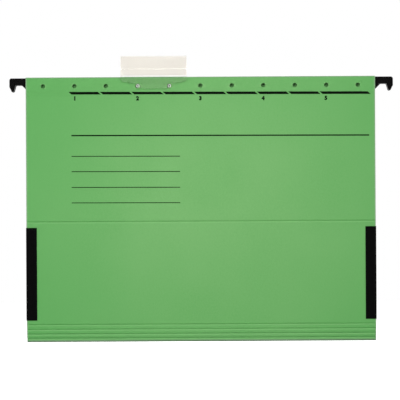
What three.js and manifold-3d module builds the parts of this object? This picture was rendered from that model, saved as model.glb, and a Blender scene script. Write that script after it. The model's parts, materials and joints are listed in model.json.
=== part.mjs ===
// Hanging file pocket: a folded card pocket with cloth gussets and a pleated base, a rail with
// moulded hooks in the sleeve of each panel, and a clear index tab plugged into the front.
//
// Millimetres, +Z up, +X to the right as seen from the front, which faces -Y.
// The origin is the middle of the rear rail, level with the flats of its hooks' notches, on
// which the pocket hangs. Each half of the pocket is drawn with its outside towards +Y and its
// rail on the origin. The front half is such a half turned round and moved forward.

import * as THREE from 'three';
import { mergeVertices } from 'three/addons/utils/BufferGeometryUtils.js';
import Module from 'manifold-3d';

const wasm = await Module();
wasm.setup();

const degrees = Math.PI / 180;

// Clearance left between pieces that fit each other
const fit = 0.3;

// Card
const cardWidth = 348.5;
const cardThickness = 0.45;
const panelDrop = 246.9; // from the top of a panel down to the first crease of the base
const crossCreaseDrop = 144.4; // from the top of the front panel down to its cross crease
const flapDrop = 30; // from the top of a panel down to the edge of its glued flap
const creaseGap = 0.15; // from a crease's axis to the card on either side of it

// Sleeve round the rail
const sleeveTaper = 3.7; // height over which the sleeve closes under the rail
const sleeveCorner = 1.1; // inside radius of the sleeve's roof

// Base
const pleatHeight = 4.7;
const pleatsPerHalf = 4;
const pleatTurn = 10 * degrees; // turn from one pleat to the next as the pocket hangs

// Punched holes
const holeCount = 11;
const holePitch = 31.39;
const holeDrop = 1.0; // centres of the holes below the notches' flats
const cardHole = 4.4;
const stripHole = 6.0;

// Rail strip
const stripThickness = 0.8;
const stripRise = 7.0; // above the notches' flats
const stripDrop = 5.0; // below the notches' flats
const tongueRise = 5.4;
const tongueDrop = 3.2;
const tongueLength = 11.0;

// Moulded hook
const hookReach = 17.05; // how far a hook stands out of the card
const railPlay = 0.8; // how far the rail lies to the right of the card's middle
const hookThickness = 2.8;
const hookBevel = 0.4;
const barRise = 7.15; // top of the hook above its notch
const shankDrop = 5.0;
const shankDepth = 12.25; // how far the hook's shank goes into the sleeve
const notchWidth = 6.4;
const notchCorner = 1.6;
const toothWidth = 6.1;
const toothDrop = 6.7;
const toothTip = 1.6; // radius of the tooth's round tip
const toothLean = 0.4; // how far the tip lies inward of the middle of the tooth's root
const toothTaperStart = 1.5; // where the tooth's outer side starts to narrow, below the notch
const hookCorner = 2.2;
const keyBoss = 1.5; // radius of the boss that keys the hook on the strip
const keyInset = 5.2; // from the strip's end to the boss
const recessDepth = 0.55;
const hookRib = 1.3; // width of the rib left round a recess
const topRib = 2.3;

// Cloth gussets
const clothThickness = 0.35;
const gussetHeight = 92.4;
const gussetDrop = 150.0; // from the top of a panel down to the gusset's upper edge
const gussetInset = 0.6; // from a panel's inner face to the leaf's fold line
const tapeWidth = 10.0;
const leafEndGap = 0.5; // from a leaf's end to the gusset's middle fold

// Index tab and its paper label
const tabWidth = 66.0;
const tabLeftHole = -2; // number of the hole that takes the left peg, counted from the middle
const tabPlay = 0.5; // how far the tab lies to the right in its holes
const tabTop = 29.0; // above the notches' flats
const tabWall = 0.7;
const labelThickness = 0.3;
const labelEndInset = 0.5; // from each end of the tab to the label's end
const labelWidth = tabWidth - 2 * labelEndInset;
const labelHeight = 18.6;
const tabFloor = 1.7; // height of the solid floor under the label's chamber
const tabRim = 1.6; // height of the rim under that floor
const tabRimProud = 0.5;
const tabRibDrop = 12.2; // from the tab's top down to the middle of its rib
const tabRibWidth = 3.0;
const tabRibProud = 0.5;
const footThickness = 1.6;
const footHeight = 4.2;
const footWidth = 43.8; // at its lower edge
const footShoulder = 2.0; // height of the foot's steep shoulders
const footShoulderInset = 1.2;
const clipThickness = 1.0;
const clipWidth = 36.4;
const clipDrop = 2.6; // from the pegs' axis down to the clip's lower edge
const clipCorner = 2.0;
const pegRadius = 1.5;
const pegReach = 3.2; // how far a peg reaches behind the clip's face
const pegChamfer = 0.5;

// Finishes
const cardGreen = 0x67ae60;
const hookBlack = 0x111212;
const stripBlack = 0x1b1d1c;
const clothBlack = 0x0c0c0c;
const clearPlastic = 0xe9e6df;
const paperWhite = 0xf4f1ea;

// Steps
const arcSteps = 5;
const roundSteps = 24;

// Sizes that follow from the ones above
const sleeveInside = hookThickness / 2 + fit;
const sleeveOutside = sleeveInside + cardThickness;
const roofInside = barRise + fit;
const cardTop = roofInside + cardThickness;
const sleeveBottom = -(Math.max(shankDrop, stripDrop) + fit);
const sleeveFoot = sleeveBottom - sleeveTaper;
const panelInside = cardThickness;
const panelOutside = panelInside + cardThickness;
const panelBottom = cardTop - panelDrop;
const crossCrease = cardTop - crossCreaseDrop;
const railEnd = cardWidth / 2 + hookReach;
const notchEnd = railEnd - toothWidth;
const notchStart = notchEnd - notchWidth;
const shankInner = cardWidth / 2 - shankDepth;
const stripShoulder = shankInner - fit;
const stripEnd = stripShoulder + tongueLength;
const foldLine = panelInside - gussetInset;
const halfDepth = insideDepth() / 2;
const railSpacing = 2 * (halfDepth - panelInside);
const leafLength = pleatsPerHalf * pleatHeight - gussetInset; // wide enough for the base laid flat
const leafAngle = Math.asin((halfDepth - gussetInset) / leafLength);

// Lean of a pleat from the vertical, counted from the panel
function pleatLean(index) {
  return (index + 0.5) * pleatTurn;
}

// Depth between the inner faces of the two panels
function insideDepth() {
  let depth = 0;
  for (let index = 0; index < pleatsPerHalf; index += 1) {
    depth += 2 * pleatHeight * Math.sin(pleatLean(index));
  }
  return depth;
}

// Shapes drawn flat and run along an axis, centred on it

const xAxis = new THREE.Vector3(1, 0, 0);
const yAxis = new THREE.Vector3(0, 1, 0);
const zAxis = new THREE.Vector3(0, 0, 1);

function runAlongX(shapeInYZ, length) {
  const settings = { depth: length, bevelEnabled: false, curveSegments: arcSteps };
  const geometry = new THREE.ExtrudeGeometry(shapeInYZ, settings);
  geometry.translate(0, 0, -length / 2);
  return geometry.applyMatrix4(new THREE.Matrix4().makeBasis(yAxis, zAxis, xAxis));
}

function runAlongY(shapeInXZ, length, bevel = 0) {
  const settings = {
    depth: length - 2 * bevel,
    bevelEnabled: bevel > 0,
    bevelThickness: bevel,
    bevelSize: bevel,
    bevelOffset: -bevel,
    bevelSegments: 1,
    curveSegments: arcSteps,
  };
  const geometry = new THREE.ExtrudeGeometry(shapeInXZ, settings);
  geometry.translate(0, 0, bevel - length / 2);
  const turned = new THREE.Matrix4().makeBasis(xAxis, zAxis, yAxis.clone().negate());
  return geometry.applyMatrix4(turned);
}

function runAlongZ(shapeInXY, length) {
  const settings = { depth: length, bevelEnabled: false, curveSegments: arcSteps };
  const geometry = new THREE.ExtrudeGeometry(shapeInXY, settings);
  return geometry.translate(0, 0, -length / 2);
}

function boxBetween(low, high) {
  const geometry = new THREE.BoxGeometry(high[0] - low[0], high[1] - low[1], high[2] - low[2]);
  return geometry.translate((low[0] + high[0]) / 2, (low[1] + high[1]) / 2, (low[2] + high[2]) / 2);
}

function polygon(points) {
  return new THREE.Shape(points.map(([across, up]) => new THREE.Vector2(across, up)));
}

// Joins and cuts

function toSolid(geometry) {
  const bare = geometry.clone();
  bare.deleteAttribute('normal');
  bare.deleteAttribute('uv');
  const merged = mergeVertices(bare, 1e-4);
  return new wasm.Manifold(new wasm.Mesh({
    numProp: 3,
    vertProperties: merged.attributes.position.array,
    triVerts: new Uint32Array(merged.index.array),
  }));
}

function toGeometry(solid) {
  const mesh = solid.getMesh();
  const geometry = new THREE.BufferGeometry();
  geometry.setAttribute('position', new THREE.BufferAttribute(mesh.vertProperties, 3));
  geometry.setIndex(new THREE.BufferAttribute(mesh.triVerts, 1));
  return geometry;
}

function cut(geometry, ...tools) {
  return toGeometry(tools.reduce((solid, tool) => solid.subtract(toSolid(tool)), toSolid(geometry)));
}

function join(geometry, ...others) {
  return toGeometry(others.reduce((solid, other) => solid.add(toSolid(other)), toSolid(geometry)));
}

function named(name, geometry, color, roughness, metalness = 0) {
  const material = new THREE.MeshStandardMaterial({ color, roughness, metalness });
  const mesh = new THREE.Mesh(geometry, material);
  mesh.name = name;
  return mesh;
}

// Card panel with its sleeve: the sheet runs up outside the rail, over it, down inside it, and is
// glued to its own inner face as a flap.
function sleevedPanelProfile(bottom) {
  const roofCorner = sleeveCorner + cardThickness;
  const outline = new THREE.Path();
  outline.moveTo(panelOutside, bottom);
  outline.lineTo(panelOutside, sleeveFoot);
  outline.lineTo(sleeveOutside, sleeveBottom);
  outline.absarc(sleeveOutside - roofCorner, cardTop - roofCorner, roofCorner, 0, Math.PI / 2, false);
  outline.absarc(roofCorner - sleeveOutside, cardTop - roofCorner, roofCorner, Math.PI / 2, Math.PI, false);
  outline.lineTo(-sleeveOutside, sleeveBottom);
  outline.lineTo(panelInside - cardThickness, sleeveFoot);
  outline.lineTo(panelInside - cardThickness, cardTop - flapDrop);
  outline.lineTo(panelInside, cardTop - flapDrop);
  outline.lineTo(panelInside, bottom);
  const shape = new THREE.Shape(outline.getPoints(arcSteps));
  const tunnel = new THREE.Path();
  const across = sleeveInside - sleeveCorner;
  const up = roofInside - sleeveCorner;
  tunnel.moveTo(panelInside, sleeveFoot);
  tunnel.lineTo(sleeveInside, sleeveBottom);
  tunnel.absarc(across, up, sleeveCorner, 0, Math.PI / 2, false);
  tunnel.absarc(-across, up, sleeveCorner, Math.PI / 2, Math.PI, false);
  tunnel.lineTo(-sleeveInside, sleeveBottom);
  shape.holes.push(new THREE.Path(tunnel.getPoints(arcSteps)));
  return shape;
}

function rearPanel() {
  return runAlongX(sleevedPanelProfile(panelBottom + creaseGap), cardWidth);
}

// The holes go through the outer layer of the sleeve only
function frontUpperPanel() {
  const panel = runAlongX(sleevedPanelProfile(crossCrease + creaseGap), cardWidth);
  const punches = holePlaces().map((across) => punch(across, cardHole, sleeveOutside));
  return cut(panel, ...punches);
}

function frontLowerPanel() {
  const low = [-cardWidth / 2, panelInside, panelBottom + creaseGap];
  const high = [cardWidth / 2, panelOutside, crossCrease - creaseGap];
  return boxBetween(low, high);
}

function holePlaces() {
  return Array.from({ length: holeCount }, (_, index) => (index - (holeCount - 1) / 2) * holePitch);
}

function punch(across, diameter, reach) {
  const geometry = new THREE.CylinderGeometry(diameter / 2, diameter / 2, 2 * reach, roundSteps);
  return geometry.translate(across, reach, -holeDrop);
}

// One pleat of the base, lying outside the line between its two creases
function pleatMesh(name, index, start) {
  const lean = pleatLean(index);
  const length = pleatHeight - 2 * creaseGap;
  const mesh = named(name, new THREE.BoxGeometry(cardWidth, cardThickness, length), cardGreen, 0.85);
  mesh.rotation.x = -lean;
  mesh.position.set(
    0,
    start.y - (pleatHeight / 2) * Math.sin(lean) + (cardThickness / 2) * Math.cos(lean),
    start.z - (pleatHeight / 2) * Math.cos(lean) - (cardThickness / 2) * Math.sin(lean),
  );
  return mesh;
}

function pleats(half) {
  const group = new THREE.Group();
  const start = { y: panelInside, z: panelBottom };
  for (let index = 0; index < pleatsPerHalf; index += 1) {
    group.add(pleatMesh(`${half}_base_strip_${index + 1}`, index, start));
    const lean = pleatLean(index);
    start.y -= pleatHeight * Math.sin(lean);
    start.z -= pleatHeight * Math.cos(lean);
  }
  return group;
}

// Cloth glued on the panel's outer face and round its edge
function gussetTape(side) {
  const edge = cardWidth / 2 + fit;
  const outside = edge + clothThickness;
  const face = panelOutside + fit;
  const points = [
    [outside, foldLine],
    [outside, face + clothThickness],
    [outside - tapeWidth, face + clothThickness],
    [outside - tapeWidth, face],
    [edge, face],
    [edge, foldLine],
  ];
  const shape = polygon(points.map(([across, out]) => [side * across, out]));
  return runAlongZ(shape, gussetHeight);
}

// Leaf of a gusset, leaning in from its fold line at the card's edge
function gussetLeaf(name, side) {
  const length = leafLength - fit - leafEndGap;
  const middle = fit + length / 2;
  const mesh = named(name, new THREE.BoxGeometry(length, clothThickness, gussetHeight), clothBlack, 0.95);
  const sine = Math.sin(leafAngle);
  const cosine = Math.cos(leafAngle);
  mesh.rotation.z = side * leafAngle;
  mesh.position.set(
    side * (cardWidth / 2 + fit - middle * cosine - (clothThickness / 2) * sine),
    foldLine - middle * sine + (clothThickness / 2) * cosine,
    0,
  );
  return mesh;
}

function gussetHalf(half, side, sideName) {
  const group = new THREE.Group();
  group.add(named(`${sideName}_gusset_tape_${half}`, gussetTape(side), clothBlack, 0.95));
  group.add(gussetLeaf(`${sideName}_gusset_${half}`, side));
  group.position.z = cardTop - gussetDrop - gussetHeight / 2;
  return group;
}

// Rail strip: a flat strip with a row of holes and a narrower tongue at each end
function railStrip() {
  const outline = [
    [stripShoulder, -stripDrop],
    [stripShoulder, -tongueDrop],
    [stripEnd, -tongueDrop],
    [stripEnd, tongueRise],
    [stripShoulder, tongueRise],
    [stripShoulder, stripRise],
  ];
  const mirrored = outline.map(([across, up]) => [-across, up]).reverse();
  const strip = runAlongY(polygon([...outline, ...mirrored]), stripThickness);
  const holes = holePlaces().map((across) => bossAlongY(across, -holeDrop, stripHole / 2, 2 * stripThickness));
  for (const side of [-1, 1]) {
    holes.push(bossAlongY(side * (stripEnd - keyInset), keyHeight(), keyBoss + fit, 2 * stripThickness));
  }
  return cut(strip, ...holes);
}

function keyHeight() {
  return (tongueRise - tongueDrop) / 2;
}

function bossAlongY(across, up, radius, length) {
  return new THREE.CylinderGeometry(radius, radius, length, roundSteps).translate(across, 0, up);
}

// Moulded hook at the rail's right end: shank, bar, notch and tooth in one outline
function hookOutline() {
  const tip = notchEnd + toothWidth / 2 - toothLean;
  const outline = new THREE.Path();
  outline.moveTo(shankInner, -shankDrop);
  outline.lineTo(notchStart - shankDrop, -shankDrop);
  outline.lineTo(notchStart, 0);
  outline.absarc(notchEnd - notchCorner, -notchCorner, notchCorner, Math.PI / 2, 0, true);
  outline.absarc(tip, toothTip - toothDrop, toothTip, Math.PI, 2 * Math.PI, false);
  outline.lineTo(railEnd, -toothTaperStart);
  outline.absarc(railEnd - hookCorner, barRise - hookCorner, hookCorner, 0, Math.PI / 2, false);
  outline.lineTo(shankInner, barRise);
  return new THREE.Shape(outline.getPoints(arcSteps));
}

// Shallow recesses on both faces leave a rib round the bar and the tooth
function hookRecesses() {
  const start = cardWidth / 2 + railPlay + hookRib / 2;
  const floor = hookRib;
  const roof = barRise - topRib;
  const bar = polygon([
    [start, roof],
    [start, floor - (notchStart - start)],
    [notchStart, floor],
    [notchEnd - hookRib / 2, floor],
    [notchEnd - hookRib / 2, roof],
  ]);
  const tooth = polygon([
    [notchEnd + hookRib, roof],
    [notchEnd + hookRib, -toothTaperStart],
    [notchEnd + toothWidth / 2 - toothTip / 2, toothTip - toothDrop],
    [notchEnd + toothWidth / 2 + toothTip / 2, toothTip - toothDrop],
    [railEnd - hookRib, -toothTaperStart],
    [railEnd - hookRib, roof],
  ]);
  const tools = [];
  for (const face of [-1, 1]) {
    for (const shape of [bar, tooth]) {
      tools.push(runAlongY(shape, 2 * recessDepth).translate(0, (face * hookThickness) / 2, 0));
    }
  }
  return tools;
}

function hook() {
  const slotHalf = stripThickness / 2 + fit;
  const low = [shankInner - fit, -slotHalf, -(tongueDrop + fit)];
  const high = [stripEnd + fit, slotHalf, tongueRise + fit];
  const moulding = cut(runAlongY(hookOutline(), hookThickness, hookBevel), boxBetween(low, high), ...hookRecesses());
  const boss = bossAlongY(stripEnd - keyInset, keyHeight(), keyBoss, (slotHalf + hookThickness / 2));
  return join(moulding, boss);
}

function rail(half, turned) {
  const group = new THREE.Group();
  group.add(named(`${half}_rail_strip`, railStrip(), stripBlack, 0.45, 0.6));
  const right = named(`${half}_hook_${turned ? 'left' : 'right'}`, hook(), hookBlack, 0.3);
  const left = named(`${half}_hook_${turned ? 'right' : 'left'}`, hook(), hookBlack, 0.3);
  left.rotation.z = Math.PI;
  group.add(right, left);
  return group;
}

// Index tab: a flat chamber for the label over a foot, and a clip with two pegs
const tabBack = sleeveOutside + fit;
const chamberBack = tabBack + tabWall;
const chamberFront = chamberBack + labelThickness + 2 * fit;
const tabFront = chamberFront + tabWall;
const chamberTop = tabTop - tabWall;
const chamberBottom = chamberTop - labelHeight - 2 * fit;
const rimBottom = chamberBottom - tabFloor - tabRim;

function tabChamber() {
  const rib = tabTop - tabRibDrop;
  const outline = polygon([
    [tabBack, rimBottom],
    [tabFront + tabRimProud, rimBottom],
    [tabFront + tabRimProud, rimBottom + tabRim],
    [tabFront, rimBottom + tabRim + tabRimProud],
    [tabFront, rib - tabRibWidth / 2],
    [tabFront + tabRibProud, rib - tabRibWidth / 4],
    [tabFront + tabRibProud, rib + tabRibWidth / 4],
    [tabFront, rib + tabRibWidth / 2],
    [tabFront, tabTop],
    [tabBack, tabTop],
  ]);
  const room = polygon([
    [chamberBack, chamberBottom],
    [chamberFront, chamberBottom],
    [chamberFront, chamberTop],
    [chamberBack, chamberTop],
  ]);
  outline.holes.push(room);
  return runAlongX(outline, tabWidth);
}

function tabFoot() {
  const shoulder = tabWidth / 2 - footShoulderInset;
  const foot = polygon([
    [-footWidth / 2, rimBottom - footHeight],
    [footWidth / 2, rimBottom - footHeight],
    [shoulder, rimBottom - footShoulder],
    [tabWidth / 2, rimBottom],
    [tabWidth / 2, rimBottom + tabRim / 2],
    [-tabWidth / 2, rimBottom + tabRim / 2],
    [-tabWidth / 2, rimBottom],
    [-shoulder, rimBottom - footShoulder],
  ]);
  return runAlongY(foot, footThickness).translate(0, tabBack + footThickness / 2, 0);
}

function tabClip() {
  const edge = clipWidth / 2;
  const bottom = -holeDrop - clipDrop;
  const outline = new THREE.Path();
  outline.moveTo(edge, rimBottom);
  outline.lineTo(-edge, rimBottom);
  outline.absarc(clipCorner - edge, bottom + clipCorner, clipCorner, Math.PI, 1.5 * Math.PI, false);
  outline.absarc(edge - clipCorner, bottom + clipCorner, clipCorner, 1.5 * Math.PI, 2 * Math.PI, false);
  const shape = new THREE.Shape(outline.getPoints(arcSteps));
  return runAlongY(shape, clipThickness).translate(0, tabBack + clipThickness / 2, 0);
}

function tabPeg(across) {
  const straight = pegReach - pegChamfer;
  const root = clipThickness / 2;
  const shank = new THREE.CylinderGeometry(pegRadius, pegRadius, straight + root, roundSteps);
  shank.translate(across, tabBack + root - (straight + root) / 2, -holeDrop);
  const tip = new THREE.CylinderGeometry(pegRadius, pegRadius - pegChamfer, pegChamfer, roundSteps);
  tip.translate(across, tabBack - straight - pegChamfer / 2, -holeDrop);
  return join(shank, tip);
}

function indexTab() {
  const pegs = [-holePitch / 2, holePitch / 2].map(tabPeg);
  return join(tabChamber(), tabFoot(), tabClip(), ...pegs);
}

function labelInsert() {
  const low = [-labelWidth / 2, chamberBack + fit, chamberBottom + fit];
  const high = [labelWidth / 2, chamberBack + fit + labelThickness, chamberTop - fit];
  return boxBetween(low, high);
}

function tabWithLabel() {
  const group = new THREE.Group();
  group.add(named('index_tab', indexTab(), clearPlastic, 0.2));
  group.add(named('label_insert', labelInsert(), paperWhite, 0.9));
  return group;
}

// One half of the pocket, its outside towards +Y. The front half is turned round afterwards, so
// its left is at +X here.
function pocketHalf(half) {
  const turned = half === 'front';
  const group = new THREE.Group();
  const card = new THREE.Group();
  card.position.x = turned ? railPlay : -railPlay;
  if (turned) {
    card.add(named('front_upper_panel', frontUpperPanel(), cardGreen, 0.85));
    card.add(named('front_lower_panel', frontLowerPanel(), cardGreen, 0.85));
    const tab = tabWithLabel();
    tab.position.x = -((tabLeftHole + 0.5) * holePitch + tabPlay);
    card.add(tab);
  } else {
    card.add(named('rear_panel', rearPanel(), cardGreen, 0.85));
  }
  card.add(pleats(half));
  for (const side of [-1, 1]) {
    const isLeft = turned ? side > 0 : side < 0;
    card.add(gussetHalf(half, side, isLeft ? 'left' : 'right'));
  }
  group.add(card, rail(half, turned));
  return group;
}

const pocket = new THREE.Group();
const rearHalf = pocketHalf('rear');
const frontHalf = pocketHalf('front');
frontHalf.rotation.z = Math.PI;
frontHalf.position.y = -railSpacing;
pocket.add(rearHalf, frontHalf);

export default pocket;
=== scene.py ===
import json
import math

import bmesh
import bpy
import numpy as np
from mathutils import Matrix, Vector


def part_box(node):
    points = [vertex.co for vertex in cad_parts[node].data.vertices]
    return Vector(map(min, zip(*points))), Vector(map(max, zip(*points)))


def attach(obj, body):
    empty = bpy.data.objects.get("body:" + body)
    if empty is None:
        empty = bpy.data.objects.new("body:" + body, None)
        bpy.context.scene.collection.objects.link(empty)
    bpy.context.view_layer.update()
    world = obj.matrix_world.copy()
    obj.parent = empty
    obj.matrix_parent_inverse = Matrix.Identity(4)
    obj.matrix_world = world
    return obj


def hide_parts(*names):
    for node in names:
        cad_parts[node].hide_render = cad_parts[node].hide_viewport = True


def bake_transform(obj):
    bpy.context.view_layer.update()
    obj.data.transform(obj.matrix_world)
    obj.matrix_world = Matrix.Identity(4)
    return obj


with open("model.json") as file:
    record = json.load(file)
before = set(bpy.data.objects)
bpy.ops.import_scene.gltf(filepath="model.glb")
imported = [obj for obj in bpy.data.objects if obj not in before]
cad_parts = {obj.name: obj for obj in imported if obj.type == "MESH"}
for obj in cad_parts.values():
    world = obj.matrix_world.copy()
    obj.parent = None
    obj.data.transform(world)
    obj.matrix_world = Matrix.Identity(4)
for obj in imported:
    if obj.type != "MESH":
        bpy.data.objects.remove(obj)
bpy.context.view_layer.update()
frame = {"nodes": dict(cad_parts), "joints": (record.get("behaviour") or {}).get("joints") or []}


# Card
# The pocket is folded from stiff pressed card, dyed green through the pulp. Each half runs from
# a glued flap up over its rail, down the panel and through the pleats to the fold at the bottom.
# Sizes are in millimetres until a mesh is made. Depths count outward from a half's rail.

mm = 0.001
outward = {"rear": 1, "front": -1}  # the way a half's outside faces along Y
card_low, card_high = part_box("rear_panel")
card_middle = (card_low.x + card_high.x) / 2 / mm
half_width = (card_high.x - card_low.x) / 2 / mm
card_top = card_high.z / mm
card_thickness = 0.45
glue_line = 0.03
flap_height = 30.0
roof_corner = 1.3  # radius of the sleeve's upper corners, on the card's middle line
sleeve_end = -13.0  # where the card lies flat again under the rail
hole_count = 11
hole_pitch = 31.39
hole_width = 4.4
hole_height = -1.0
punch_length = 3.0
crease_press = 0.9  # depth of the groove that is pressed along a crease
crease_reach = 1.25  # from a crease to the end of its groove
bottom_bend = 0.8  # from the corner of the bottom fold to the start of its bend
seam_drop = 2.5  # from the cross crease down to where the two front sheets meet
bow_height = 0.45
bow_hold = 0.7  # share of the bow that is held back at the cut edges
ripple_share = 0.5  # how much the bow's height varies
ripple_across = 33.0  # the ripple's lengths, for one radian of it
ripple_up = 47.0
ripple_start = 0.8
edge_columns = (0, 0.35, 0.9, 1.6)  # places of the mesh's outer columns, from a cut edge inward
inner_column = 2.5
inner_count = 57
edge_wear = 1.3, 0.6  # width of a worn band, and the part of it over which the wear grows
roof_wear = 1.3, 0.9
# band of painted shade along the bottom fold: its width, and the part over which the shade grows
foot_shade = 2.0, 1.2
flank_drop = 0.8  # from a crease down to the middle of its lower flank, which is painted paler as a highlight
flank_reach = 0.45
rub_share = 0.75  # how far wear takes the card to the colour of rubbed card
# share by which the lower flank of a crease is painted paler, as a painted highlight
flank_share = 0.5
sheen_across = 20.0  # middle of the painted sheen, where the card is painted paler for light that pools there
sheen_height = -120.0
sheen_reach = 280.0

rail_plane = {half: sum(corner.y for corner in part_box(f"{half}_rail_strip")) / 2 / mm for half in outward}


def depth_in(half, y):
    return outward[half] * (y / mm - rail_plane[half])


sleeve_face = depth_in("rear", card_high.y)
panel_face = depth_in("front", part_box("front_lower_panel")[0].y)
pocket_middle = -abs(rail_plane["front"] - rail_plane["rear"]) / 2
axis_place = {joint["name"]: Vector(joint["pos_m"]) / mm for joint in frame["joints"] if "pos_m" in joint}
base_creases = [
    np.array([depth_in("rear", axis_place[name].y * mm), axis_place[name].z])
    for name in ("rear_crease_1", "rear_crease_2", "rear_crease_3", "rear_crease_4")
]
cross_crease = axis_place["cross_crease"].z


def unit(vector):
    return vector / np.linalg.norm(vector)


def outside_of(direction):
    """The card's outward side beside a step along its middle line."""
    return np.array([-direction[1], direction[0]])


def curve_through(points, steps=6):
    """A smooth line through the points, made of cubic stretches."""
    points = [np.array(point, float) for point in points]
    ends = [2 * points[0] - points[1], *points, 2 * points[-1] - points[-2]]
    line = []
    for before, start, end, after in zip(ends, ends[1:], ends[2:], ends[3:]):
        for share in np.arange(steps) / steps:
            line.append(0.5 * (
                2 * start
                + (end - before) * share
                + (2 * before - 5 * start + 4 * end - after) * share**2
                + (3 * start - before - 3 * end + after) * share**3
            ))
    return line + [points[-1]]


def arc(middle, radius, first, last, steps=8):
    angles = np.radians(np.linspace(first, last, steps + 1))
    return [np.array([middle[0] + radius * math.cos(a), middle[1] + radius * math.sin(a)]) for a in angles]


def sleeve_wall():
    """Outer wall of the sleeve, from the roof's corner down to the flat panel."""
    wall = sleeve_face - card_thickness / 2
    flat = panel_face - card_thickness / 2
    bar = card_top - card_thickness / 2 - roof_corner
    return curve_through([
        (wall, bar), (wall + 0.1, 3.0), (wall + 0.02, -1.5), (wall - 0.25, -5.6),
        (1.15, -8.3), (flat + 0.05, -10.8), (flat, sleeve_end),
    ])


def sleeve():
    """Middle line from the edge of the glued flap over the rail to the flat panel."""
    flap = panel_face - 1.5 * card_thickness - glue_line
    wall = sleeve_face - card_thickness / 2
    roof = card_top - card_thickness / 2
    inner_wall = roof_corner - wall
    outer_wall = wall - roof_corner
    spring = roof - roof_corner  # height at which the corners start
    rising = curve_through([
        (flap, sleeve_end), (flap - 0.1, -10.9), (-0.75, -8.4), (0.22 - wall, -5.6),
        (-wall, -1.5), (-wall - 0.08, 3.0), (-wall, spring),
    ])
    line = [np.array([flap, card_top - flap_height])] + rising
    line += arc((inner_wall, spring), roof_corner, 180, 90)[1:]
    line += arc((outer_wall, spring), roof_corner, 90, 0)
    return line + sleeve_wall()[1:]


def crease(before, at, after):
    """Middle line round a crease, which a blunt blade has pressed in from the outside."""
    start = at + unit(before - at) * crease_reach
    end = at + unit(after - at) * crease_reach
    line = []
    for turn in np.linspace(-1, 1, 13):
        share = (turn + 1) / 2
        place = (1 - share)**2 * start + 2 * share * (1 - share) * at + share**2 * end
        direction = unit((1 - share) * (at - start) + share * (end - at))
        groove = (1 + math.cos(math.pi * turn)) / 2
        line.append(place - outside_of(direction) * crease_press * groove)
    return line


def parabola(start, middle, end, steps=7):
    """A bend from start to end, with its corner at middle."""
    shares = np.linspace(0, 1, steps)
    return [(1 - s)**2 * start + 2 * s * (1 - s) * middle + s**2 * end for s in shares]


def straight(start, end, step=8.0):
    count = max(2, round(np.linalg.norm(end - start) / step))
    return [start + (end - start) * share for share in np.linspace(0, 1, count + 1)]


# The base's corners on the middle line, from the panel to the bottom fold
flat_depth = panel_face - card_thickness / 2
pleat_height = np.linalg.norm(base_creases[1] - base_creases[0])
last_crease = base_creases[-1]
bottom_drop = math.sqrt(pleat_height**2 - (last_crease[0] - pocket_middle)**2)
bottom_fold = np.array([pocket_middle, last_crease[1] - bottom_drop])
inner_corners = [base_creases[0] + np.array([0, pleat_height]), *base_creases, bottom_fold]
corners = []
for before, at, after in zip(inner_corners, inner_corners[1:], inner_corners[2:]):
    side = unit(outside_of(unit(at - before)) + outside_of(unit(after - at)))
    corners.append(at + side * card_thickness / 2)
panel_start = np.array([flat_depth, corners[0][1] + pleat_height])
last_side = outside_of(unit(bottom_fold - last_crease))
corners = [panel_start, *corners, bottom_fold + last_side * card_thickness / 2]


def pleat_middle(number):
    return (corners[number] + corners[number + 1]) / 2


def fold_line(number):
    """Middle line from the middle of one pleat over a crease to the middle of the next."""
    start = pleat_middle(number - 1) if number > 1 else corners[0]
    groove = crease(corners[number - 1], corners[number], corners[number + 1])
    return [start, *groove, pleat_middle(number)]


def bottom_line():
    """Middle line over the last crease and round to the middle of the bottom fold."""
    direction = unit(corners[5] - corners[4])
    foot = bottom_fold[1] + card_thickness / 2
    bend = corners[5] + direction * (foot - corners[5][1]) / direction[1]
    start = bend - direction * bottom_bend
    end = np.array([pocket_middle, foot])
    return fold_line(4)[:-1] + parabola(start, bend, end, steps=9)


def bow(across, up):
    """How far the card stands out of its flat place between the rail and the base."""
    base_top = corners[1][1] + crease_reach
    along = min(max((sleeve_end - up) / (sleeve_end - base_top), 0), 1)
    swell = math.sin(math.pi * along)**2
    ripple = 1 + ripple_share * math.sin(across / ripple_across + ripple_start) * math.cos(up / ripple_up)
    return bow_height * swell * ripple * (1 - bow_hold * (across / half_width)**4)


def card_columns():
    """Places across the card, close together at its cut edges."""
    edges = half_width - np.array(edge_columns)
    inner = np.linspace(inner_column - half_width, half_width - inner_column, inner_count)
    return [*-edges, *inner, *edges[::-1]]


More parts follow.
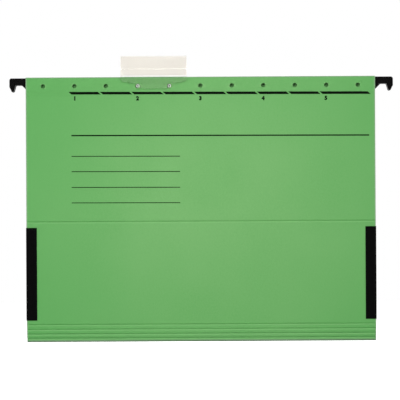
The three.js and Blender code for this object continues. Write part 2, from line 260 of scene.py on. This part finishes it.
def thick_sheet(name, line, stations, thickness, place, wear_and_light=None):
    """A closed mesh of a folded sheet: its middle line, run along stations and given a thickness."""
    line = np.array(line)
    steps = np.gradient(line, axis=0)
    sides = np.stack([-steps[:, 1], steps[:, 0]], axis=1)
    sides /= np.linalg.norm(sides, axis=1)[:, None]
    count = len(line)
    points = []
    wear_and_painted_light = []
    for layer in (0.5, -0.5):
        face = line + sides * thickness * layer
        for station in stations:
            for index in range(count):
                points.append(Vector(place(face[index][0], face[index][1], station)) * mm)
                wear_and_painted_light.append(wear_and_light(line[index], station) if wear_and_light else 0.0)
    rows = len(stations)

    def at(layer, row, index):
        return (layer * rows + row) * count + index

    faces = []
    for row in range(rows - 1):
        for index in range(count - 1):
            for layer in (0, 1):
                faces.append([at(layer, row, index), at(layer, row + 1, index),
                              at(layer, row + 1, index + 1), at(layer, row, index + 1)])
        for index in (0, count - 1):
            faces.append([at(0, row, index), at(0, row + 1, index), at(1, row + 1, index), at(1, row, index)])
    for index in range(count - 1):
        for row in (0, rows - 1):
            faces.append([at(0, row, index), at(0, row, index + 1), at(1, row, index + 1), at(1, row, index)])
    mesh = bpy.data.meshes.new(name)
    mesh.from_pydata(points, [], faces)
    form = bmesh.new()
    form.from_mesh(mesh)
    bmesh.ops.recalc_face_normals(form, faces=form.faces)
    form.to_mesh(mesh)
    form.free()
    # rubbed wear of the card, together with its painted shade and painted highlights
    mesh.attributes.new("wear_and_painted_light", "FLOAT", "POINT").data.foreach_set("value", wear_and_painted_light)
    return add_piece(name, mesh)


def smooth(mesh, sharp_turn=40):
    """Shades a mesh smoothly, except at edges that turn by more degrees than sharp_turn."""
    mesh.shade_smooth()
    mesh.set_sharp_from_angle(angle=math.radians(sharp_turn))


def add_piece(name, mesh):
    smooth(mesh)
    piece = bpy.data.objects.new(name, mesh)
    bpy.context.scene.collection.objects.link(piece)
    return piece


def wear_and_shade_band(distance, width, growth):
    """1 at a band's outer edge, 0 from its width on."""
    return min(max((width - distance) / growth, 0), 1)


def card_wear_and_light(point, across):
    """1 on cut edges and the top fold, where the card is rubbed paler; 2 on the bottom fold, for painted
    shade; down to -1 on the lower flank of each pressed crease, for a painted highlight."""
    up = point[1]
    edge = wear_and_shade_band(half_width - abs(across), *edge_wear)
    roof = wear_and_shade_band(card_top - up, *roof_wear)
    foot = wear_and_shade_band(up - bottom_fold[1], *foot_shade)
    heights = [corner[1] for corner in corners[1:]] + [cross_crease]
    flank = max(1 - abs(up - height + flank_drop) / flank_reach for height in heights)
    return max(edge, roof, 2 * foot) or min(-flank, 0)


def painted_sheen_falloff(place):
    """0 about the middle of the card, where a pool of light is painted in as a paler colour, to 1 far from
    there.
    """
    away = math.hypot(place.x / mm - sheen_across, place.z / mm - sheen_height)
    share = min(away / sheen_reach, 1)
    return share**2 * (3 - 2 * share)


def card_sheet(name, half, line):
    def place(depth, up, across):
        stand = depth + bow(across, up)
        return card_middle + across, rail_plane[half] + outward[half] * stand, up

    piece = thick_sheet(name, line, card_columns(), card_thickness, place, card_wear_and_light)
    # share of the painted sheen: 0 about the middle of the card, which is painted paler there
    sheen_falloff = [painted_sheen_falloff(vert.co) for vert in piece.data.vertices]
    piece.data.attributes.new("sheen_falloff", "FLOAT", "POINT").data.foreach_set("value", sheen_falloff)
    return piece


def punch_holes(piece):
    """Cuts the row of holes through the outer wall of the front sleeve."""
    form = bmesh.new()
    for index in range(hole_count):
        across = card_middle + (index - (hole_count - 1) / 2) * hole_pitch
        middle = Vector((across, rail_plane["front"] - sleeve_face, hole_height)) * mm
        bmesh.ops.create_cone(
            form, cap_ends=True, segments=40, radius1=hole_width / 2 * mm, radius2=hole_width / 2 * mm,
            depth=punch_length * mm, matrix=Matrix.Translation(middle) @ Matrix.Rotation(math.pi / 2, 4, "X"),
        )
    mesh = bpy.data.meshes.new("hole_punch")
    form.to_mesh(mesh)
    form.free()
    tool = bpy.data.objects.new("hole_punch", mesh)
    bpy.context.scene.collection.objects.link(tool)
    cutter = piece.modifiers.new("holes", "BOOLEAN")
    cutter.operation = "DIFFERENCE"
    cutter.solver = "EXACT"
    cutter.object = tool
    view = bpy.context.evaluated_depsgraph_get()
    cut = bpy.data.meshes.new_from_object(piece.evaluated_get(view))
    piece.modifiers.remove(cutter)
    bpy.data.objects.remove(tool)
    piece.data = cut
    smooth(cut)


def linear(colour):
    """An sRGB hex colour as Blender's linear one."""
    parts = [int(colour[place:place + 2], 16) / 255 for place in (1, 3, 5)]
    return (*[part / 12.92 if part <= 0.04045 else ((part + 0.055) / 1.055)**2.4 for part in parts], 1.0)


def add_node(tree, kind, settings=None, links=None):
    """Adds a node, sets its properties and sockets, and links its inputs to other nodes' outputs."""
    node = tree.nodes.new(kind)
    for name, value in (settings or {}).items():
        if isinstance(name, str) and hasattr(node, name):
            setattr(node, name, value)
        else:
            node.inputs[name].default_value = value
    for name, output in (links or {}).items():
        tree.links.new(output, node.inputs[name])
    return node


def new_finish(name, settings):
    """A material with its shader and a place on the object in metres."""
    material = bpy.data.materials.new(name)
    material.use_nodes = True
    tree = material.node_tree
    tree.nodes.clear()
    shader = add_node(tree, "ShaderNodeBsdfPrincipled", settings)
    add_node(tree, "ShaderNodeOutputMaterial", links={"Surface": shader.outputs["BSDF"]})
    place = add_node(tree, "ShaderNodeTexCoord").outputs["Object"]
    return material, tree, shader, place


def pressed_card():
    """Dyed pulp card, calendered: matt, faintly mottled by its fibres and paler where it is rubbed. Light is
    painted in: a paler sheen about its middle, highlights on the lower flanks of the creases, shade on the
    bottom fold."""
    material, tree, shader, place = new_finish(
        "Pressed card, dyed green", {"Roughness": 0.72, "IOR": 1.5, "Specular IOR Level": 0.3}
    )
    pulp = add_node(tree, "ShaderNodeTexNoise", {"Scale": 1 / (1.6 * mm), "Detail": 5.0, "Roughness": 0.65},
                    {"Vector": place})
    stretched = add_node(tree, "ShaderNodeMapping", {"Scale": (1.0, 1.0, 0.25)}, {"Vector": place})
    fibres = add_node(tree, "ShaderNodeTexNoise", {"Scale": 1 / (0.7 * mm), "Detail": 2.0, "Distortion": 1.5},
                      {"Vector": stretched.outputs["Vector"]})
    cloud = add_node(tree, "ShaderNodeTexNoise", {"Scale": 1 / (90 * mm), "Detail": 2.0}, {"Vector": place})
    mottle = add_node(tree, "ShaderNodeMix", {"data_type": "FLOAT", "Factor": 0.45},
                      {2: pulp.outputs["Fac"], 3: fibres.outputs["Fac"]})
    speck = add_node(tree, "ShaderNodeMapRange", {"From Min": 0.35, "From Max": 0.65},
                     {"Value": mottle.outputs[0]})
    grain = add_node(tree, "ShaderNodeMix", {"data_type": "RGBA", 6: linear("#6CAF63"), 7: linear("#79B76E")},
                     {0: speck.outputs["Result"]})
    drift = add_node(tree, "ShaderNodeMapRange", {"From Min": 0.3, "From Max": 0.7, "To Max": 0.35},
                     {"Value": cloud.outputs["Fac"]})
    body = add_node(tree, "ShaderNodeMix", {"data_type": "RGBA", 7: linear("#88C07A")},
                    {0: drift.outputs["Result"], 6: grain.outputs[2]})
    # painted sheen: paler card about the middle, turning to the darker unlit green away from it
    sheen_falloff = add_node(tree, "ShaderNodeAttribute", {"attribute_name": "sheen_falloff"})
    dyed = add_node(tree, "ShaderNodeMix", {"data_type": "RGBA", 7: linear("#5DA859")},
                    {0: sheen_falloff.outputs["Fac"], 6: body.outputs[2]})
    # rubbed edges, painted shade on the bottom fold and painted highlights on the crease flanks
    wear_and_painted_light = add_node(tree, "ShaderNodeAttribute", {"attribute_name": "wear_and_painted_light"})
    rubbed = add_node(tree, "ShaderNodeMath", {"operation": "MULTIPLY", "use_clamp": True, 1: rub_share},
                      {0: wear_and_painted_light.outputs["Fac"]})
    # painted highlight: the lower flank of each crease is painted paler, for light from above
    flank = add_node(tree, "ShaderNodeMath", {"operation": "MULTIPLY", "use_clamp": True, 1: -flank_share},
                     {0: wear_and_painted_light.outputs["Fac"]})
    pressed = add_node(tree, "ShaderNodeMix", {"data_type": "RGBA", 7: linear("#9AD28E")},
                       {0: flank.outputs["Value"], 6: dyed.outputs[2]})
    paler = add_node(tree, "ShaderNodeMix", {"data_type": "RGBA", 7: linear("#8CAA88")},
                     {0: rubbed.outputs["Value"], 6: pressed.outputs[2]})
    # painted shade: the bottom fold is painted darker for the shadow where it turns under
    painted_foot_shade = add_node(tree, "ShaderNodeMath", {"operation": "SUBTRACT", "use_clamp": True, 1: 1.0},
                      {0: wear_and_painted_light.outputs["Fac"]})
    colour = add_node(tree, "ShaderNodeMix", {"data_type": "RGBA", 7: linear("#4A6A49")},
                      {0: painted_foot_shade.outputs["Value"], 6: paler.outputs[2]})
    tree.links.new(colour.outputs[2], shader.inputs["Base Color"])
    bump = add_node(tree, "ShaderNodeBump", {"Strength": 0.35, "Distance": 0.03 * mm},
                    {"Height": mottle.outputs[0]})
    tree.links.new(bump.outputs["Normal"], shader.inputs["Normal"])
    return material


card_finish = pressed_card()


def bend_at(piece):
    """Bakes a card piece's placement into its mesh."""
    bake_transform(piece)


flat_end = np.array([0, 1.5 * crease_reach])  # from a crease up to the end of the flat card
panel_top = np.array([flat_depth, sleeve_end])
cross = np.array([flat_depth, cross_crease])
seam = np.array([flat_depth, cross_crease - seam_drop])
base_start = corners[1] + flat_end
card_pieces = {}
card_pieces["rear_sheet"] = card_sheet(
    "rear_sheet", "rear", sleeve() + straight(panel_top, base_start)[1:] + fold_line(1)[1:]
)
card_pieces["front_upper_sheet"] = card_sheet(
    "front_upper_sheet", "front",
    sleeve() + straight(panel_top, cross + flat_end)[1:] + crease(panel_top, cross, seam) + [seam],
)
card_pieces["front_lower_sheet"] = card_sheet(
    "front_lower_sheet", "front", straight(seam, base_start) + fold_line(1)[1:]
)
punch_holes(card_pieces["front_upper_sheet"])
for half in ("rear", "front"):
    for number in (2, 3, 4):
        name = f"{half}_fold_{number}"
        line = bottom_line() if number == 4 else fold_line(number)
        card_pieces[name] = card_sheet(name, half, line)
        bend_at(card_pieces[name])
        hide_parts(f"{half}_base_strip_{number}")
    lower = card_pieces["rear_sheet" if half == "rear" else "front_lower_sheet"]
    bend_at(lower)
    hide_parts("rear_panel" if half == "rear" else "front_lower_panel", f"{half}_base_strip_1")
bend_at(card_pieces["front_upper_sheet"])
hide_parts("front_upper_panel")
for piece in card_pieces.values():
    piece.data.materials.clear()
    piece.data.materials.append(card_finish)


# Printed scale
# A row of dashes under the holes with plain numbers, and ruled lines to write on. They are
# offset printed on the flat card in a dark green-black ink, before it is folded.

ink_height = 0.04
ink_column = 5.0  # how long a stretch of a film is, so that it follows the card
ink_pitch = 31.31
dash_start = -130.1
dash_end = 168.3
dash_up = -7.9
dash_height = 2.6
dash_gap = 2.0
dash_slant = 1.2
dash_count = 9
number_start = -125.3
number_up = -13.1
number_height = 4.4
number_count = 5
stroke_gain = 0.07  # by which a figure's strokes are thickened
line_start = -128.9
long_line = 168.2, -50.2, 1.3  # end, place up and height
short_line_end = -20.6
short_line_height = 0.75
short_lines_up = (-70.9, -86.2, -101.9, -117.3)
print_skew = math.radians(0.18)  # the card is cut a little askew to its print

wall_line = np.array(sleeve_wall())
wall_steps = np.gradient(wall_line, axis=0)
wall_sides = [outside_of(unit(step)) * card_thickness / 2 for step in wall_steps]
# The panel's flat face goes on below the wall, down past the card's lower end
printed_face = np.array([*(wall_line + wall_sides), (panel_face, -1000.0)])[::-1]


def front_face(across, up):
    """Depth of the front panel's printed face."""
    return float(np.interp(up, printed_face[:, 1], printed_face[:, 0])) + bow(across, up)


def on_front(across, up, lift):
    up -= math.tan(print_skew) * (across - dash_start)
    depth = front_face(across, up) + lift
    return Vector((card_middle + across, rail_plane["front"] - depth, up)) * mm


def ink_patch(form, left, right, middle, height, slant=0.0, rows=1):
    """A closed film of ink between two places across, with slanted ends."""
    columns = max(1, round((right - left) / ink_column))
    grids = []
    for lift in (ink_height, -ink_height / 2):
        grid = []
        for row in range(rows + 1):
            up = middle + height * (0.5 - row / rows)
            shift = slant * (middle - up)
            shares = [column / columns for column in range(columns + 1)]
            places = [left + (right - left) * share + shift for share in shares]
            grid.append([form.verts.new(on_front(across, up, lift)) for across in places])
        grids.append(grid)
    top, under = grids
    for row in range(rows):
        for column in range(columns):
            for grid in grids:
                form.faces.new([grid[row][column], grid[row + 1][column],
                                grid[row + 1][column + 1], grid[row][column + 1]])
    rim = [(0, column) for column in range(columns + 1)]
    rim += [(row, columns) for row in range(1, rows + 1)]
    rim += [(rows, column) for column in range(columns - 1, -1, -1)]
    rim += [(row, 0) for row in range(rows - 1, 0, -1)]
    for (row, column), (next_row, next_column) in zip(rim, rim[1:] + rim[:1]):
        form.faces.new([top[row][column], top[next_row][next_column],
                        under[next_row][next_column], under[row][column]])


def ink_number(form, figure, across, middle, height):
    """A plain figure of ink, its middle at a place on the front panel."""
    curve = bpy.data.curves.new("figure", "FONT")
    curve.body = figure
    curve.extrude = 0.01  # parts the front from the back, which are then set on the card's face
    curve.offset = stroke_gain
    curve.resolution_u = 4
    shape = bpy.data.objects.new("figure", curve)
    bpy.context.scene.collection.objects.link(shape)
    view = bpy.context.evaluated_depsgraph_get()
    mesh = bpy.data.meshes.new_from_object(shape.evaluated_get(view))
    bpy.data.objects.remove(shape)
    low = [min(vert.co[axis] for vert in mesh.vertices) for axis in (0, 1)]
    high = [max(vert.co[axis] for vert in mesh.vertices) for axis in (0, 1)]
    scale = height / (high[1] - low[1])
    for vert in mesh.vertices:
        x = across + (vert.co.x - (low[0] + high[0]) / 2) * scale
        up = middle + (vert.co.y - (low[1] + high[1]) / 2) * scale
        vert.co = on_front(x, up, ink_height if vert.co.z > 0 else -ink_height / 2)
    form.from_mesh(mesh)
    bpy.data.meshes.remove(mesh)


def printing_ink():
    """Oil-based offset ink soaked into card: nearly black and dull."""
    material, tree, shader, place = new_finish(
        "Offset ink, green-black", {"Roughness": 0.7, "IOR": 1.48, "Specular IOR Level": 0.05}
    )
    soak = add_node(tree, "ShaderNodeTexNoise", {"Scale": 1 / (0.5 * mm), "Detail": 3.0}, {"Vector": place})
    tone = add_node(tree, "ShaderNodeMix", {"data_type": "RGBA", 6: linear("#030903"), 7: linear("#0A180A")},
                    {0: soak.outputs["Fac"]})
    tree.links.new(tone.outputs[2], shader.inputs["Base Color"])
    return material


def add_print(name, form):
    bmesh.ops.remove_doubles(form, verts=form.verts, dist=1e-7)
    bmesh.ops.recalc_face_normals(form, faces=form.faces)
    mesh = bpy.data.meshes.new(name)
    form.to_mesh(mesh)
    form.free()
    piece = add_piece(name, mesh)
    mesh.materials.append(ink_finish)
    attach(piece, "front_flap")


ink_finish = printing_ink()
dashes = bmesh.new()
for index in range(dash_count):
    start = dash_start + index * ink_pitch
    end = dash_end if index == dash_count - 1 else start + ink_pitch - dash_gap
    ink_patch(dashes, start, end, dash_up, dash_height, dash_slant, rows=5)
add_print("printed_dashes", dashes)
numbers = bmesh.new()
for index in range(number_count):
    across = number_start + 2 * ink_pitch * index
    ink_number(numbers, str(index + 1), across, number_up, number_height)
add_print("printed_numbers", numbers)
lines = bmesh.new()
ink_patch(lines, line_start, *long_line)
for up in short_lines_up:
    ink_patch(lines, line_start, short_line_end, up, short_line_height)
add_print("printed_lines", lines)


# Rails and hooks
# Each rail is a flat steel strip, lacquered black, with a row of punched holes. Its hooks are
# moulded in glossy black polystyrene and keyed on the strip's ends.


def finish_node(name, material):
    node = frame["nodes"][name]
    node.data.materials.clear()
    node.data.materials.append(material)
    smooth(node.data, sharp_turn=35)


def moulded_polystyrene():
    """Injection-moulded polystyrene, black: glossy, with faint flow marks and handling haze."""
    material, tree, shader, place = new_finish(
        "Moulded polystyrene, black", {"IOR": 1.55, "Specular IOR Level": 0.35}
    )
    haze = add_node(tree, "ShaderNodeTexNoise", {"Scale": 1 / (3 * mm), "Detail": 4.0}, {"Vector": place})
    tone = add_node(tree, "ShaderNodeMix", {"data_type": "RGBA", 6: linear("#060606"), 7: linear("#0D0D0D")},
                    {0: haze.outputs["Fac"]})
    gloss = add_node(tree, "ShaderNodeMapRange", {"To Min": 0.1, "To Max": 0.2},
                     {"Value": haze.outputs["Fac"]})
    flow = add_node(tree, "ShaderNodeTexNoise", {"Scale": 1 / (0.8 * mm), "Detail": 2.0}, {"Vector": place})
    bump = add_node(tree, "ShaderNodeBump", {"Strength": 0.15, "Distance": 0.02 * mm},
                    {"Height": flow.outputs["Fac"]})
    tree.links.new(tone.outputs[2], shader.inputs["Base Color"])
    tree.links.new(gloss.outputs["Result"], shader.inputs["Roughness"])
    tree.links.new(bump.outputs["Normal"], shader.inputs["Normal"])
    return material


def lacquered_steel():
    """Cold-rolled steel strip under black baking lacquer: satin, with orange peel."""
    material, tree, shader, place = new_finish("Steel strip, black lacquer", {"IOR": 1.5, "Coat Weight": 0.2})
    peel = add_node(tree, "ShaderNodeTexNoise", {"Scale": 1 / (0.9 * mm), "Detail": 2.0}, {"Vector": place})
    tone = add_node(tree, "ShaderNodeMix", {"data_type": "RGBA", 6: linear("#090A09"), 7: linear("#151716")},
                    {0: peel.outputs["Fac"]})
    sheen = add_node(tree, "ShaderNodeMapRange", {"To Min": 0.32, "To Max": 0.5},
                     {"Value": peel.outputs["Fac"]})
    bump = add_node(tree, "ShaderNodeBump", {"Strength": 0.2, "Distance": 0.02 * mm},
                    {"Height": peel.outputs["Fac"]})
    tree.links.new(tone.outputs[2], shader.inputs["Base Color"])
    tree.links.new(sheen.outputs["Result"], shader.inputs["Roughness"])
    tree.links.new(bump.outputs["Normal"], shader.inputs["Normal"])
    return material


hook_finish = moulded_polystyrene()
strip_finish = lacquered_steel()
for half in ("rear", "front"):
    finish_node(f"{half}_rail_strip", strip_finish)
    for side in ("left", "right"):
        finish_node(f"{half}_hook_{side}", hook_finish)


# Gussets
# A gusset of black bookbinding cloth closes each side below the cross crease. It is glued round
# the card's edges and folds inward between the panels, with its middle fold half way.

cloth_thickness = 0.35
cloth_lift = 0.02
tape_inner = 10.4  # from the card's edge to the tape's inner edge
edge_turn = 0.25  # how far the cloth's middle line stands out of the card's edge
edge_round = 0.4  # radius of the turn round the card's edge
leaf_axis = -0.3  # from the card's edge to the leaf's fold, which lies outside it
leaf_short = 0.6  # by which a leaf is shorter than the four pleats
leaf_depth = 0.2  # depth at which the turn goes over into the bend of the leaf
leaf_bend = 0.9  # from the fold to the end of its bend
middle_bend = 0.6  # from the line of the middle fold back to the corner of its bend
middle_start = 1.5


def gusset_line():
    """Middle line of the cloth as (distance in from the card's edge, depth)."""
    face = panel_face + cloth_lift + cloth_thickness / 2
    axis = np.array([leaf_axis, depth_in("rear", axis_place["left_fold_rear"].y * mm)])
    spread = pleat_height * 4 - leaf_short
    lean = math.asin((axis[1] - pocket_middle) / spread)
    along = np.array([math.cos(lean), -math.sin(lean)])
    base = axis + np.array([math.sin(lean), math.cos(lean)]) * cloth_thickness / 2
    reach = (base[1] - pocket_middle) / math.sin(lean)
    turned = [np.array([-edge_turn, leaf_depth]), np.array([-edge_turn, 0.0]), base + along * leaf_bend]
    bend = base + along * (reach - middle_bend)
    ends = [base + along * (reach - middle_start), bend, np.array([bend[0], pocket_middle])]
    turn = np.array([edge_round - edge_turn, face - edge_round])
    line = straight(np.array([tape_inner, face]), np.array([turn[0], face]), step=1.0)
    line += arc(turn, edge_round, 90, 180, steps=6)[1:]
    line += parabola(*turned)
    line += straight(turned[2], ends[0], step=1.2)[1:-1]
    return line + parabola(*ends)


def bookbinding_cloth():
    """Plain-woven cotton, starched and dyed black: dull, its threads drawn 0.7 mm apart to show."""
    material, tree, shader, place = new_finish(
        "Bookbinding cloth, black", {"Roughness": 0.9, "IOR": 1.5, "Specular IOR Level": 0.05}
    )
    settings = {"wave_type": "BANDS", "Scale": 1 / (0.7 * mm * math.pi), "Distortion": 0.6, "Detail": 1.0}
    warp = add_node(tree, "ShaderNodeTexWave", {**settings, "bands_direction": "X"}, {"Vector": place})
    weft = add_node(tree, "ShaderNodeTexWave", {**settings, "bands_direction": "Z"}, {"Vector": place})
    weave = add_node(tree, "ShaderNodeMath", {"operation": "MULTIPLY"},
                     {0: warp.outputs["Fac"], 1: weft.outputs["Fac"]})
    slub = add_node(tree, "ShaderNodeTexNoise", {"Scale": 1 / (2 * mm), "Detail": 3.0}, {"Vector": place})
    blend = add_node(tree, "ShaderNodeMath", {"operation": "MULTIPLY"},
                     {0: weave.outputs["Value"], 1: slub.outputs["Fac"]})
    tone = add_node(tree, "ShaderNodeMix", {"data_type": "RGBA", 6: linear("#050505"), 7: linear("#131214")},
                    {0: blend.outputs["Value"]})
    bump = add_node(tree, "ShaderNodeBump", {"Strength": 0.6, "Distance": 0.08 * mm},
                    {"Height": weave.outputs["Value"]})
    tree.links.new(tone.outputs[2], shader.inputs["Base Color"])
    tree.links.new(bump.outputs["Normal"], shader.inputs["Normal"])
    return material


cloth_finish = bookbinding_cloth()
cloth_line = gusset_line()
tape_low, tape_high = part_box("left_gusset_tape_front")
cloth_rows = np.linspace(tape_low.z / mm, tape_high.z / mm, 41)
for half in ("rear", "front"):
    for side, way in (("left", -1), ("right", 1)):
        def place(inward, depth, up):
            across = way * (half_width - inward)
            stand = depth + (bow(across, up) if depth > 0 else 0)
            return card_middle + across, rail_plane[half] + outward[half] * stand, up

        name = f"{side}_gusset_cloth_{half}"
        cloth = thick_sheet(name, cloth_line, cloth_rows, cloth_thickness, place)
        cloth.data.materials.append(cloth_finish)
        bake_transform(cloth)
        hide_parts(f"{side}_gusset_tape_{half}", f"{side}_gusset_{half}")


# Index tab
# A clear tab moulded in polystyrene, plugged into two holes of the front panel by its pegs. A
# slip of white paper slides into its chamber from the side.

curl_height = 0.06  # how far the slip stands off its flat place
curl_across = 14.0
curl_up = 9.0


def clear_polystyrene():
    """Clear moulded polystyrene: see-through, slightly hazy from handling."""
    material, tree, shader, place = new_finish(
        "Moulded polystyrene, clear", {"IOR": 1.55, "Transmission Weight": 1.0}
    )
    haze = add_node(tree, "ShaderNodeTexNoise", {"Scale": 1 / (4 * mm), "Detail": 3.0}, {"Vector": place})
    tone = add_node(tree, "ShaderNodeMix", {"data_type": "RGBA", 6: linear("#FFFEFC"), 7: linear("#FDFCF9")},
                    {0: haze.outputs["Fac"]})
    gloss = add_node(tree, "ShaderNodeMapRange", {"To Min": 0.03, "To Max": 0.12},
                     {"Value": haze.outputs["Fac"]})
    tree.links.new(tone.outputs[2], shader.inputs["Base Color"])
    tree.links.new(gloss.outputs["Result"], shader.inputs["Roughness"])
    return material


def label_paper():
    """Uncoated white paper: matt, with a fine felt-side grain."""
    material, tree, shader, place = new_finish("Uncoated paper, white", {"Roughness": 0.9, "IOR": 1.5})
    felt = add_node(tree, "ShaderNodeTexNoise", {"Scale": 1 / (0.8 * mm), "Detail": 4.0}, {"Vector": place})
    tone = add_node(tree, "ShaderNodeMix", {"data_type": "RGBA", 6: linear("#F2EEE8"), 7: linear("#F7F4EF")},
                    {0: felt.outputs["Fac"]})
    bump = add_node(tree, "ShaderNodeBump", {"Strength": 0.2, "Distance": 0.02 * mm},
                    {"Height": felt.outputs["Fac"]})
    tree.links.new(tone.outputs[2], shader.inputs["Base Color"])
    tree.links.new(bump.outputs["Normal"], shader.inputs["Normal"])
    return material


finish_node("index_tab", clear_polystyrene())
label_low, label_high = (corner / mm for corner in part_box("label_insert"))
label_thickness = label_high.y - label_low.y
label_middle = (label_low.y + label_high.y) / 2
label_ends = [np.array([corner.x, label_middle]) for corner in (label_low, label_high)]
label_line = straight(*label_ends, step=3.0)
label_rows = np.linspace(label_low.z, label_high.z, 9)


def label_place(across, y, up):
    """The slip curls by a few hundredths of a millimetre along its length."""
    curl = curl_height * math.sin((across - label_low.x) / curl_across) * math.cos(up / curl_up)
    return across, y + curl, up


label = thick_sheet("label_slip", label_line, label_rows, label_thickness, label_place)
label.data.materials.append(label_paper())
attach(label, "label")
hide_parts("label_insert")


# Studio
# A white floor under the hanging pocket, a small lamp from the upper left, a large soft one from
# above the camera and one behind. The camera looks straight at the front through a long lens.

floor_height = -0.305
floor_radius = 3.0
floor_lift = 0.8  # glow that brings the floor up to the background's white
room_light = 0.23  # strength of the world for the rays that light the pocket
gloss_dark = 0.05  # its strength in the gloss that shows the camera's side
gloss_turn = 0.3  # how far from straight sideways it turns to full strength
lamp_target = (0, 0, -0.12)
view_distance = 3.5
picture_width = 400  # in pixels
pixel = 0.9975 * mm
view_centre = Vector((-1.75, 0, -115.1)) * mm
view_roll = math.radians(0.31)


def add_floor():
    bpy.ops.mesh.primitive_circle_add(
        vertices=64, radius=floor_radius, fill_type="NGON", location=(0, 0, floor_height)
    )
    floor = bpy.context.object
    floor.name = "studio_floor"
    material, tree, shader, _ = new_finish("Studio paper, white", {"Roughness": 0.95})
    shader.inputs["Base Color"].default_value = linear("#F4F4F3")
    seen = add_node(tree, "ShaderNodeLightPath")
    clear = add_node(tree, "ShaderNodeMath", {"operation": "MAXIMUM"},
                     {0: seen.outputs["Is Camera Ray"], 1: seen.outputs["Is Transmission Ray"]})
    direct = add_node(tree, "ShaderNodeMath", {"operation": "MAXIMUM"},
                      {0: clear.outputs["Value"], 1: seen.outputs["Is Glossy Ray"]})
    lift = add_node(tree, "ShaderNodeMath", {"operation": "MULTIPLY", 1: floor_lift},
                    {0: direct.outputs["Value"]})
    shader.inputs["Emission Color"].default_value = (1, 1, 1, 1)
    tree.links.new(lift.outputs["Value"], shader.inputs["Emission Strength"])
    floor.data.materials.append(material)


def add_lamp(name, place, size, power):
    lamp = bpy.data.lights.new(name, "AREA")
    lamp.shape = "DISK"
    lamp.size = size
    lamp.energy = power
    holder = bpy.data.objects.new(name, lamp)
    holder.location = place
    holder.rotation_euler = (Vector(lamp_target) - Vector(place)).to_track_quat("-Z", "Y").to_euler()
    bpy.context.scene.collection.objects.link(holder)


def add_world():
    """White to the camera, clear plastic and gloss, dim for gloss on the camera's side, and a soft
    light on the rest."""
    world = bpy.data.worlds.new("studio")
    world.use_nodes = True
    tree = world.node_tree
    tree.nodes.clear()
    seen = add_node(tree, "ShaderNodeLightPath")
    towards = add_node(tree, "ShaderNodeTexCoord").outputs["Generated"]
    side = add_node(tree, "ShaderNodeSeparateXYZ", links={"Vector": towards})
    turned = {"From Min": -gloss_turn, "From Max": gloss_turn, "To Min": gloss_dark}
    gloss = add_node(tree, "ShaderNodeMapRange", turned, {"Value": side.outputs["Y"]})
    rest = add_node(tree, "ShaderNodeMix", {"data_type": "FLOAT", 2: room_light},
                    {0: seen.outputs["Is Glossy Ray"], 3: gloss.outputs["Result"]})
    clear = add_node(tree, "ShaderNodeMath", {"operation": "MAXIMUM"},
                     {0: seen.outputs["Is Camera Ray"], 1: seen.outputs["Is Transmission Ray"]})
    strength = add_node(tree, "ShaderNodeMix", {"data_type": "FLOAT", 3: 1.0},
                        {0: clear.outputs["Value"], 2: rest.outputs[0]})
    light = add_node(tree, "ShaderNodeBackground", {"Color": (1, 1, 1, 1)}, {"Strength": strength.outputs[0]})
    add_node(tree, "ShaderNodeOutputWorld", links={"Surface": light.outputs["Background"]})
    bpy.context.scene.world = world


def add_camera():
    camera = bpy.data.cameras.new("camera")
    camera.sensor_width = 36
    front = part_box("front_lower_panel")[0].y
    camera.lens = camera.sensor_width * view_distance / (picture_width * pixel)
    camera.clip_end = 100
    holder = bpy.data.objects.new("camera", camera)
    holder.location = (view_centre.x, front - view_distance, view_centre.z)
    holder.rotation_euler = (math.pi / 2, view_roll, 0)
    bpy.context.scene.collection.objects.link(holder)
    bpy.context.scene.camera = holder


add_floor()
add_lamp("lamp_left", (-0.5, -0.95, 0.3), 0.16, 3.0)
add_lamp("lamp_above", (0.25, -1.3, 0.95), 1.1, 13.8)
add_lamp("lamp_behind", (-0.35, 1.4, 0.85), 1.1, 14.0)
add_world()
add_camera()
bpy.context.scene.view_settings.view_transform = "Standard"
